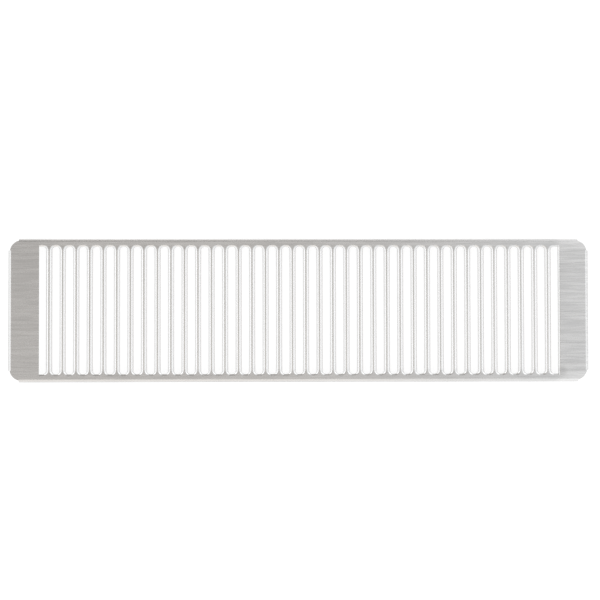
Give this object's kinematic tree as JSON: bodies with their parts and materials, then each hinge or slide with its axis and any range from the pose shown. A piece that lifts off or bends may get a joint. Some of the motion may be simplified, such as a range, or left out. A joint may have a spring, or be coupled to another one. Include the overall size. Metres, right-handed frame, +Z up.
{
  "type": "baguette tray",
  "caption": "Long, narrow slotted tray of brushed stainless steel: flat end plates, rounded crossbars between open slots, folded-down edges. Holds baguettes while crumbs fall through.",
  "frame": {"origin": "under the middle of the deck, level with the lower edges of the folded flanges, which the tray stands on", "axes": "+X along the tray towards the end plate whose slot edge is rolled over, +Y across the tray, along the crossbars, +Z up through the deck"},
  "size_m": [0.6, 0.148, 0.015],
  "materials": {
    "brushed_sheet": "fine straight brushing along the tray",
    "formed_bar": "smooth satin, brighter than the deck"
  },
  "bodies": {
    "root": {"deck_frame": "brushed_sheet", "crossbar_01": "formed_bar", "crossbar_02": "formed_bar", "crossbar_03": "formed_bar", "crossbar_04": "formed_bar", "crossbar_05": "formed_bar", "crossbar_06": "formed_bar", "crossbar_07": "formed_bar", "crossbar_08": "formed_bar", "crossbar_09": "formed_bar", "crossbar_10": "formed_bar", "crossbar_11": "formed_bar", "crossbar_12": "formed_bar", "crossbar_13": "formed_bar", "crossbar_14": "formed_bar", "crossbar_15": "formed_bar", "crossbar_16": "formed_bar", "crossbar_17": "formed_bar", "crossbar_18": "formed_bar", "crossbar_19": "formed_bar", "crossbar_20": "formed_bar", "crossbar_21": "formed_bar", "crossbar_22": "formed_bar", "crossbar_23": "formed_bar", "crossbar_24": "formed_bar", "crossbar_25": "formed_bar", "crossbar_26": "formed_bar", "crossbar_27": "formed_bar", "crossbar_28": "formed_bar", "crossbar_29": "formed_bar", "crossbar_30": "formed_bar", "crossbar_31": "formed_bar", "crossbar_32": "formed_bar", "crossbar_33": "formed_bar", "crossbar_34": "formed_bar", "crossbar_35": "formed_bar", "crossbar_36": "formed_bar", "crossbar_37": "formed_bar", "crossbar_38": "formed_bar"}
  },
  "joints": []
}
